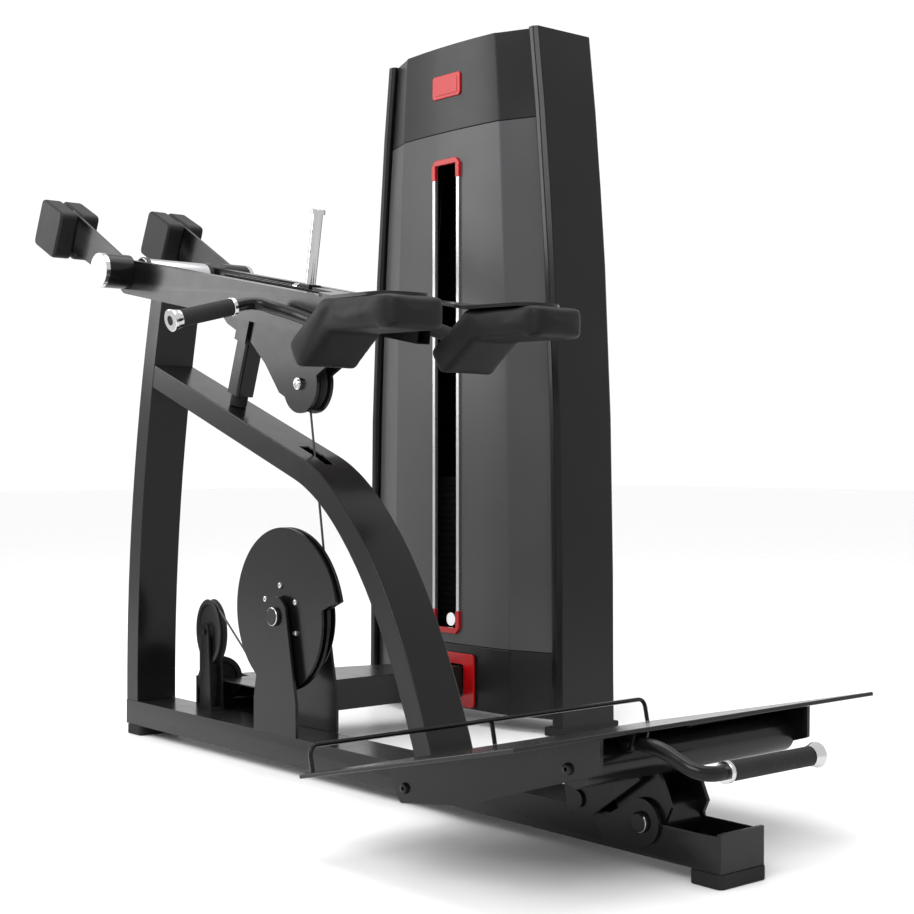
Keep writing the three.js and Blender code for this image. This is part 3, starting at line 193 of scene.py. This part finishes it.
FINISH = {
    "black_paint": make_material("black_paint", (0.0040, 0.0040, 0.0043), 0.24, coat=0.08, grain=260,
                                 grain_bump=0.05, wear=0.25),
    "panel_grey": make_material("panel_grey", (0.050, 0.050, 0.052), 0.34, coat=0.05, grain=320,
                                grain_bump=0.05, mottle=0.04, wear=0.12),
    "header_black": make_material("header_black", (0.009, 0.009, 0.0095), 0.34, coat=0.05, grain=320,
                                  grain_bump=0.05, mottle=0.08, wear=0.15),
    "chrome": make_material("chrome", (0.52, 0.52, 0.53), 0.15, metal=1, grain=90, grain_bump=0.02,
                            mottle=0.03, rough_spread=0.05),
    "cast_iron": make_material("cast_iron", (0.009, 0.009, 0.0095), 0.48, metal=0.15, grain=520,
                               grain_bump=0.30, wear=0.2),
    "red_plastic": make_material("red_plastic", (0.36, 0.003, 0.005), 0.3, coat=0.15, grain=300,
                                 grain_bump=0.04, mottle=0.05),
    "pad_vinyl": make_material("pad_vinyl", (0.0055, 0.0055, 0.0058), 0.52, grain=620, grain_bump=0.35,
                               leather=True, mottle=0.12),
    "rubber": make_material("rubber", (0.012, 0.012, 0.012), 0.7, grain=450, grain_bump=0.35),
    "grip_rubber": make_material("grip_rubber", (0.014, 0.014, 0.015), 0.62, grain=700, grain_bump=0.4,
                                 leather=True),
    "cable": make_material("cable", (0.035, 0.035, 0.038), 0.4, metal=0.6, grain=900, grain_bump=0.5),
    "silver_trim": make_material("silver_trim", (0.36, 0.36, 0.37), 0.3, metal=0.9, grain=200,
                                 grain_bump=0.12, brushed=(8, 8, 0.3), mottle=0.06),
}


# ---------- pieces ----------
def smooth_by_angle(mesh, limit=32):
    """Smooth shading everywhere but on edges sharper than the limit, in degrees."""
    work = bmesh.new()
    work.from_mesh(mesh)
    for face in work.faces:
        face.smooth = True
    for edge in work.edges:
        edge.smooth = len(edge.link_faces) != 2 or edge.calc_face_angle(0) < math.radians(limit)
    work.to_mesh(mesh)
    work.free()


def finish_piece(piece, body, slot, bevel=0.0, segments=2, replaces=()):
    """Gives a piece its body, material, rounded edges and shading."""
    piece.data.materials.clear()
    piece.data.materials.append(FINISH[slot])
    if piece.type == "MESH":
        smooth_by_angle(piece.data)
    if bevel:
        rounding = piece.modifiers.new("rounded_edges", "BEVEL")
        rounding.width = bevel
        rounding.segments = segments
        rounding.limit_method = "ANGLE"
        rounding.angle_limit = math.radians(32)
        rounding.use_clamp_overlap = True
        flat = piece.modifiers.new("flat_faces", "WEIGHTED_NORMAL")
        flat.keep_sharp = True
    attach(piece, body)
    if replaces:
        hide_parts(*replaces)
    return piece


def mesh_piece(name, vertices, faces):
    mesh = bpy.data.meshes.new(name)
    mesh.from_pydata([tuple(v) for v in vertices], [], faces)
    mesh.update()
    piece = bpy.data.objects.new(name, mesh)
    bpy.context.collection.objects.link(piece)
    return piece


def clean_copy(node, name):
    """A CAD node's mesh with its flat faces whole again."""
    work = bmesh.new()
    work.from_mesh(nodes[node].data)
    bmesh.ops.remove_doubles(work, verts=work.verts, dist=1e-5)
    bmesh.ops.dissolve_limit(work, angle_limit=math.radians(1.0), verts=work.verts, edges=work.edges)
    mesh = bpy.data.meshes.new(name)
    work.to_mesh(mesh)
    work.free()
    piece = bpy.data.objects.new(name, mesh)
    bpy.context.collection.objects.link(piece)
    return piece


def refine(node, slot, bevel=0.0015):
    piece = clean_copy(node, f"{node}_skin")
    return finish_piece(piece, body_of_node[node], slot, bevel, replaces=[node])


def lathe(name, profile, centre, axis, segments=64):
    """A body of revolution: profile is a closed list of (radius, distance along the axis)."""
    turn = Vector((0, 0, 1)).rotation_difference(Vector(axis).normalized()).to_matrix()
    vertices = []
    for i in range(segments):
        a = 2 * math.pi * i / segments
        for r, h in profile:
            vertices.append(Vector(centre) + turn @ Vector((r * math.cos(a), r * math.sin(a), h)))
    count = len(profile)
    faces = []
    for i in range(segments):
        j = (i + 1) % segments
        for k in range(count):
            m = (k + 1) % count
            faces.append((i * count + k, j * count + k, j * count + m, i * count + m))
    piece = mesh_piece(name, vertices, faces)
    work = bmesh.new()
    work.from_mesh(piece.data)
    bmesh.ops.remove_doubles(work, verts=work.verts, dist=1e-6)
    bmesh.ops.recalc_face_normals(work, faces=work.faces)
    work.to_mesh(piece.data)
    work.free()
    return piece


def plate(name, outline, y0, y1, place=Matrix.Identity(4)):
    """An X-Z outline made into a plate between two Y values."""
    count = len(outline)
    vertices = [place @ Vector((x, y, z)) for y in (y0, y1) for x, z in outline]
    faces = [tuple(range(count)), tuple(range(2 * count - 1, count - 1, -1))]
    faces += [(i, i + count, (i + 1) % count + count, (i + 1) % count) for i in range(count)]
    piece = mesh_piece(name, vertices, faces)
    work = bmesh.new()
    work.from_mesh(piece.data)
    bmesh.ops.recalc_face_normals(work, faces=work.faces)
    work.to_mesh(piece.data)
    work.free()
    return piece


def rounded_box(x0, x1, z0, z1, r, steps=6):
    """An upright rectangle with rounded corners, as a closed X-Z outline."""
    corners = ((x1 - r, z1 - r, 0), (x0 + r, z1 - r, 90), (x0 + r, z0 + r, 180), (x1 - r, z0 + r, 270))
    out = []
    for cx, cz, start in corners:
        for i in range(steps + 1):
            a = math.radians(start + 90 * i / steps)
            out.append((cx + r * math.cos(a), cz + r * math.sin(a)))
    return out


def tube(name, points, radius, sides=6):
    """A round tube on a smooth curve through the points."""
    data = bpy.data.curves.new(name, "CURVE")
    data.dimensions = "3D"
    data.bevel_depth = radius
    data.bevel_resolution = sides
    data.use_fill_caps = True
    data.resolution_u = 8
    spline = data.splines.new("BEZIER")
    spline.bezier_points.add(len(points) - 1)
    for handle, point in zip(spline.bezier_points, points):
        handle.co = point
        handle.handle_left_type = handle.handle_right_type = "AUTO"
    piece = bpy.data.objects.new(name, data)
    bpy.context.collection.objects.link(piece)
    return piece


def bolt(name, centre, axis, radius, height, body, slot="black_paint", socket=True):
    """A button-head screw with a round socket, or a plain domed head without one."""
    profile = [(0, 0), (radius, 0), (radius, height * 0.45), (radius * 0.86, height * 0.85),
               (radius * 0.55, height), (radius * 0.36, height), (radius * 0.34, height * 0.45),
               (0, height * 0.45)]
    if not socket:
        profile = [(0, 0), (radius, 0), (radius, height * 0.6), (radius * 0.8, height), (0, height)]
    return finish_piece(lathe(name, profile, centre, axis, 24), body, slot)


# ---------- wheels ----------
def wheel_profile(radius, half, bore, groove):
    """Grooved cable wheel with a rim, a thinner web and a hub."""
    web = half * 0.45
    hub = bore + 0.012
    rim = radius - groove - 0.008
    side = [(bore, half), (hub, half), (hub + 0.002, web), (rim, web), (rim + 0.003, half - 0.001),
            (radius - 0.002, half - 0.001), (radius, half - 0.003), (radius - groove + 0.003, half * 0.30),
            (radius - groove, 0)]
    mirrored = [(r, -h) for r, h in reversed(side[:-1])]
    return side + mirrored


def make_wheel(node, centre, axis, radius, half, slot="cast_iron", bore=0.0094, groove=0.009):
    piece = lathe(f"{node}_fine", wheel_profile(radius, half, bore, groove), centre, axis, 72)
    return finish_piece(piece, body_of_node[node], slot, replaces=[node])


def joint(name):
    return next(j for j in frame["record"]["behaviour"]["joints"] if j["name"] == name)


def make_wheels():
    for node, hinge, radius, half in (
        ("guide_wheel", "guide_wheel_spin", 0.087, 0.012),
        ("turn_wheel", "turn_wheel_spin", 0.062, 0.011),
        ("bottom_wheel", "bottom_wheel_spin", 0.0401, 0.010),
        ("top_wheel", "top_wheel_spin", 0.0401, 0.010),
        ("anchor_wheel", "anchor_wheel_spin", 0.064, 0.0155),
    ):
        make_wheel(node, joint(hinge)["pos_m"], joint(hinge)["axis"], radius, half)


def make_cam():
    def edge(inset, steps=140):
        out = []
        for i in range(steps + 1):
            t = i / steps
            r = 0.172 + 0.061 * (1 - t) ** 1.2 - inset
            a = math.radians(12 + 356 * t)
            out.append((CAM_CENTRE.x + r * math.cos(a), CAM_CENTRE.z + r * math.sin(a)))
        return out

    for name, inset, y0, y1 in (("cam_cheek_near", 0, -0.044, -0.037), ("cam_cheek_far", 0, -0.027, -0.020),
                                ("cam_core", 0.012, -0.038, -0.026)):
        finish_piece(plate(name, edge(inset), y0, y1), "cam", "black_paint", 0.0012, replaces=["cam_disc"])
    hub_profile = [(0.0154, -0.0120), (0.044, -0.0120), (0.045, -0.011), (0.045, 0.009), (0.0154, 0.009)]
    hub = lathe("cam_hub", hub_profile, (0.7, -0.0095, 0.38), (0, 1, 0))
    finish_piece(hub, "cam", "black_paint")
    flange, root, half = 0.152, 0.140, 0.012
    drum = [(0.0154, half), (0.05, half), (0.052, 0.008), (0.128, 0.008), (0.131, half),
            (flange - 0.001, half), (flange, half - 0.002), (flange, half - 0.003), (root, 0.003),
            (root, -0.003), (flange, 0.003 - half), (flange, 0.002 - half), (flange - 0.001, -half),
            (0.0154, -half)]
    finish_piece(lathe("cam_drum", drum, CAM_CENTRE, (0, 1, 0), 96), "cam", "black_paint")
    for i in range(6):
        a = math.radians(60 * i - 30)
        centre = CAM_CENTRE + Vector((0.075 * math.cos(a), -0.044, 0.075 * math.sin(a)))
        bolt(f"cam_bolt_{i}", centre, (0, -1, 0), 0.0075, 0.006, "cam", "chrome")


# ---------- handles ----------
def collar(name, start, axis, radius, body):
    """Chrome ring beside a grip."""
    profile = [(0, 0), (radius - 0.001, 0), (radius, 0.001), (radius, 0.009), (radius - 0.001, 0.010),
               (0, 0.010)]
    return finish_piece(lathe(name, profile, start, axis, 40), body, "chrome")


def grip(name, start, axis, length, body, radius=0.0165):
    """Ribbed rubber sleeve."""
    profile = [(0.0, 0.0), (radius - 0.002, 0.0), (radius, 0.002)]
    ribs = int(length / 0.006)
    for i in range(1, ribs):
        h = length * i / ribs
        profile += [(radius, h - 0.0012), (radius - 0.0006, h), (radius, h + 0.0012)]
    profile += [(radius, length - 0.002), (radius - 0.002, length), (0.0, length)]
    return finish_piece(lathe(name, profile, start, axis, 40), body, "grip_rubber")


def flared_cap(name, start, axis, body, radius=0.0225):
    """Chrome end cap that widens outwards, with a dark plug in its hollow end."""
    profile = [(0, 0), (radius * 0.80, 0), (radius * 0.82, 0.004), (radius * 0.9, 0.012), (radius, 0.020),
               (radius, 0.023), (radius - 0.002, 0.0245), (radius * 0.45, 0.0245),
               (radius * 0.42, 0.021), (0, 0.021)]
    cap = finish_piece(lathe(name, profile, start, axis, 48), body, "chrome")
    plug_at = Vector(start) + Vector(axis) * 0.0212
    plug_profile = [(0, 0), (radius * 0.4, 0), (radius * 0.38, 0.0018), (0, 0.0022)]
    plug = lathe(f"{name}_plug", plug_profile, plug_at, axis, 32)
    finish_piece(plug, body, "rubber")
    return cap


def make_side_handle(tag, side):
    points = [(1.000, side * 0.162, 1.078), (0.930, side * 0.166, 1.098), (0.862, side * 0.178, 1.117),
              (0.832, side * 0.196, 1.127), (0.822, side * 0.222, 1.126), (0.821, side * 0.256, 1.118)]
    axis = Vector((0, side, -0.25)).normalized()
    start = Vector(points[-1])
    bar = tube(f"handle_{tag}_bar", [Vector(p) for p in points] + [start + axis * 0.012], 0.015)
    finish_piece(bar, "arm", "black_paint", replaces=[f"handle_{tag}"])
    collar(f"handle_{tag}_collar", start, axis, 0.0215, "arm")
    grip(f"handle_{tag}_grip", start + axis * 0.010, axis, 0.138, "arm", 0.020)
    flared_cap(f"handle_{tag}_cap", start + axis * 0.1485, axis, "arm", 0.0255)


def make_release_handle():
    x, y, z = 2.016, -0.180, 0.263
    points = [(x, y, z), (x + 0.030, y, z), (x + 0.069, y, z - 0.005), (x + 0.106, y + 0.003, z - 0.020),
              (x + 0.136, y + 0.010, z - 0.032), (x + 0.154, y + 0.028, z - 0.036),
              (x + 0.160, y + 0.056, z - 0.036)]
    start = Vector(points[-1])
    axis = Vector((0, 1, 0))
    bar = tube("release_bar", [Vector(p) for p in points] + [start + axis * 0.012], 0.0135)
    finish_piece(bar, "release", "black_paint", replaces=["release_handle"])
    eye = [(0.0064, -0.013), (0.0135, -0.013), (0.014, -0.012), (0.014, 0.012), (0.0135, 0.013),
           (0.0064, 0.013)]
    finish_piece(lathe("release_eye", eye, (x, y, z), axis, 32), "release", "black_paint")
    collar("release_collar", start, axis, 0.0200, "release")
    grip("release_grip", start + axis * 0.010, axis, 0.225, "release", 0.018)
    flared_cap("release_cap", start + axis * 0.234, axis, "release", 0.0235)


# ---------- pads ----------
def swell(piece, cap=0.0025):
    """Blows the cover up with cloth pressure, then limits how far any point has moved."""
    start = np.array([v.co for v in piece.data.vertices])
    cloth = piece.modifiers.new("cover", "CLOTH")
    cloth.settings.use_pressure = True
    cloth.settings.uniform_pressure_force = 4
    cloth.settings.effector_weights.gravity = 0
    cloth.settings.quality = 5
    scene = bpy.context.scene
    for step in range(1, 21):
        scene.frame_set(step)
    evaluated = piece.evaluated_get(bpy.context.evaluated_depsgraph_get())
    moved = np.array([v.co for v in evaluated.data.vertices]) - start
    piece.modifiers.remove(cloth)
    scene.frame_set(1)
    size = np.linalg.norm(moved, axis=1, keepdims=True)
    limited = start + moved * np.minimum(1, cap / np.maximum(size, 1e-9))
    piece.data.vertices.foreach_set("co", limited.astype(np.float32).ravel())
    piece.data.update()


def make_pad(node):
    piece = clean_copy(node, f"{node}_cover")
    remesh = piece.modifiers.new("even_cells", "REMESH")
    remesh.mode = "VOXEL"
    remesh.voxel_size = 0.005
    soften = piece.modifiers.new("round_over", "SMOOTH")
    soften.iterations = 14
    soften.factor = 0.6
    graph = bpy.context.evaluated_depsgraph_get()
    mesh = bpy.data.meshes.new_from_object(piece.evaluated_get(graph), depsgraph=graph)
    piece.modifiers.clear()
    piece.data = mesh
    swell(piece)
    settle = piece.modifiers.new("settle", "SMOOTH")
    settle.iterations = 10
    settle.factor = 0.5
    relax = piece.modifiers.new("fine", "SUBSURF")
    relax.levels = relax.render_levels = 1
    for face in piece.data.polygons:
        face.use_smooth = True
    piece.data.materials.clear()
    piece.data.materials.append(FINISH["pad_vinyl"])
    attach(piece, "arm")
    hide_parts(node)
    return piece


# ---------- tower trim ----------
def make_slot_trim():
    x0, x1, z0, z1, lip = TOWER_X - 0.062, TOWER_X + 0.062, 0.256, 1.642, 0.016
    front, back = TOWER_FRONT - 0.0055, TOWER_FRONT + 0.003

    def end_piece(name, low, high, closed_high):
        r = 0.016
        if closed_high:
            outline = [(x0, low), (x0 + lip, low), (x0 + lip, high - lip), (x1 - lip, high - lip),
                       (x1 - lip, low), (x1, low), (x1, high - r), (x1 - r, high), (x0 + r, high),
                       (x0, high - r)]
        else:
            outline = [(x0, high), (x0 + lip, high), (x0 + lip, low + lip), (x1 - lip, low + lip),
                       (x1 - lip, high), (x1, high), (x1, low + r), (x1 - r, low), (x0 + r, low),
                       (x0, low + r)]
        cap = plate(name, outline, front - 0.002, back)
        finish_piece(cap, "frame", "red_plastic", 0.0015, replaces=["slot_frame"])

    end_piece("slot_end_top", 1.584, z1, True)
    end_piece("slot_end_bottom", z0, 0.323, False)
    for tag, a in (("left", x0), ("right", x1 - lip)):
        left, right = a + 0.002, a + lip - 0.002
        outline = [(left, 0.322), (right, 0.322), (right, 1.585), (left, 1.585)]
        strip = plate(f"slot_strip_{tag}", outline, front, back)
        finish_piece(strip, "frame", "silver_trim", 0.001)


def make_badge():
    """Plain raised badge on the header."""
    outline = rounded_box(TOWER_X - 0.062, TOWER_X + 0.062, 1.822, 1.890, 0.010)
    badge = plate("badge", outline, TOWER_FRONT - 0.004, TOWER_FRONT + 0.004)
    finish_piece(badge, "frame", "red_plastic", 0.0015)
    inner = rounded_box(TOWER_X - 0.050, TOWER_X + 0.050, 1.832, 1.880, 0.006)
    field = plate("badge_field", inner, TOWER_FRONT - 0.0052, TOWER_FRONT - 0.0035)
    finish_piece(field, "frame", "red_plastic", 0.0006)


# ---------- bolts and caps ----------
def make_hub_caps():
    for tag, side in (("near", -1), ("far", 1)):
        profile = [(0, 0), (0.045, 0), (0.0462, 0.0015), (0.0462, 0.012), (0.044, 0.014),
                   (0.012, 0.0145), (0.0115, 0.0135), (0, 0.0135)]
        cap = lathe(f"hub_cap_{tag}", profile, (0.115, side * 0.2185, 1.267), (0, side, 0), 64)
        finish_piece(cap, "arm", "chrome")


def make_bolts():
    for side in (-1, 1):
        tag = "near" if side < 0 else "far"
        for i, (x, z) in enumerate(((0.063, -0.056), (0.536, -0.052))):
            at = PLATFORM @ Vector((x, side * 0.290, z))
            bolt(f"side_bolt_{tag}_{i}", at, (0, side, 0), 0.011, 0.007, "platform")
        out = (0, side, 0)
        anchor = ARM @ Vector((0.685, side * 0.034, -0.197))
        bolt(f"anchor_cap_{tag}", anchor, out, 0.012, 0.004, "arm", "chrome")
        cam_end = (0.700, side * 0.0642, 0.380)
        bolt(f"cam_cap_{tag}", cam_end, out, 0.024, 0.0105, "frame", socket=False)
        platform_end = (1.926, side * 0.0662, 0.090)
        bolt(f"platform_cap_{tag}", platform_end, out, 0.020, 0.0095, "frame", socket=False)
    for tag, side in (("left", -1), ("right", 1)):
        bolt(f"tower_screw_{tag}", (TOWER_X + side * 0.30, 1.0165, 1.80), (0, 1, 0), 0.006, 0.004, "frame")


def make_adjuster():
    """Plain round bar with a row of small dark discs on the near side: painted shade standing in for its
    holes.
    """
    axis = (ARM.to_3x3() @ Vector((0, 0, 1))).normalized()
    low, high = -0.060, 0.226
    r = 0.013
    profile = [(0, low), (r - 0.001, low), (r, low + 0.001), (r, high - 0.012), (r + 0.005, high - 0.012),
               (r + 0.005, high - 0.003), (r + 0.003, high), (0, high)]
    bar = lathe("adjuster_bar_fine", profile, ARM @ Vector((0.650, 0, 0)), axis, 40)
    finish_piece(bar, "adjuster", "chrome", replaces=["adjuster_bar"])
    out = (ARM.to_3x3() @ Vector((0, -1, 0))).normalized()
    for i in range(8):
        # Painted shade: each hole is not cut, a thin dark rubber disc on the surface stands in for the shade
        # inside it.
        at = ARM @ Vector((0.650, -r + 0.0008, 0.075 + 0.016 * i))
        spot = lathe(f"adjuster_hole_shade_{i}", [(0, 0), (0.004, 0), (0.004, 0.0008), (0, 0.0004)], at, out, 20)
        finish_piece(spot, "adjuster", "rubber")


def make_pivot_collars():
    for tag, side in (("near", -1), ("far", 1)):
        profile = [(0.0425, 0), (0.0445, 0.001), (0.0445, 0.011), (0.0425, 0.012)]
        ring = lathe(f"pivot_collar_{tag}", profile, (0.115, side * 0.090, 1.267), (0, side, 0), 64)
        finish_piece(ring, "frame", "black_paint")


def make_skirts():
    """Low plinths at the feet of the side columns."""
    for tag, side in (("left", -1), ("right", 1)):
        low, high = sorted((TOWER_X + side * 0.378, TOWER_X + side * 0.439))
        outline = [(low, 0.001), (high, 0.001), (high, 0.022), (high - 0.002, 0.025),
                   (low + 0.002, 0.025), (low, 0.022)]
        finish_piece(plate(f"column_skirt_{tag}", outline, 0.793, 1.023), "frame", "rubber", 0.001)


SLOT_OF = {s["node"]: s["material_slot"] for s in frame["record"]["subparts"]}
REBUILT = {
    "guide_wheel", "turn_wheel", "bottom_wheel", "top_wheel", "anchor_wheel", "cam_disc",
    "handle_near", "handle_far", "release_handle", "shoulder_pad_near", "shoulder_pad_far",
    "slot_frame", "adjuster_bar",
}
SMALL_EDGE = {
    "adjuster_pin", "stop_rod", "release_bracket", "anchor_bolt", "selector_pin", "weight_cable", "arm_cable",
}
WIDE_EDGE = {"counterweight_near_outer": 0.006, "counterweight_near_inner": 0.006,
             "counterweight_far_inner": 0.006, "counterweight_far_outer": 0.006, "main_strut": 0.006,
             "rear_upright": 0.006, "base_beam": 0.004,
             "arm_side_near": 0.003, "arm_side_far": 0.003, "column_left": 0.006, "column_right": 0.006}

add_camera()
add_studio()
add_floor()
for node in sorted(set(nodes) - REBUILT):
    refine(node, SLOT_OF[node], 0.0006 if node in SMALL_EDGE else WIDE_EDGE.get(node, 0.0015))
make_wheels()
make_cam()
make_side_handle("near", -1)
make_side_handle("far", 1)
make_release_handle()
for pad in ("shoulder_pad_near", "shoulder_pad_far"):
    make_pad(pad)
make_slot_trim()
make_badge()
make_hub_caps()
make_bolts()
make_adjuster()
make_pivot_collars()
make_skirts()
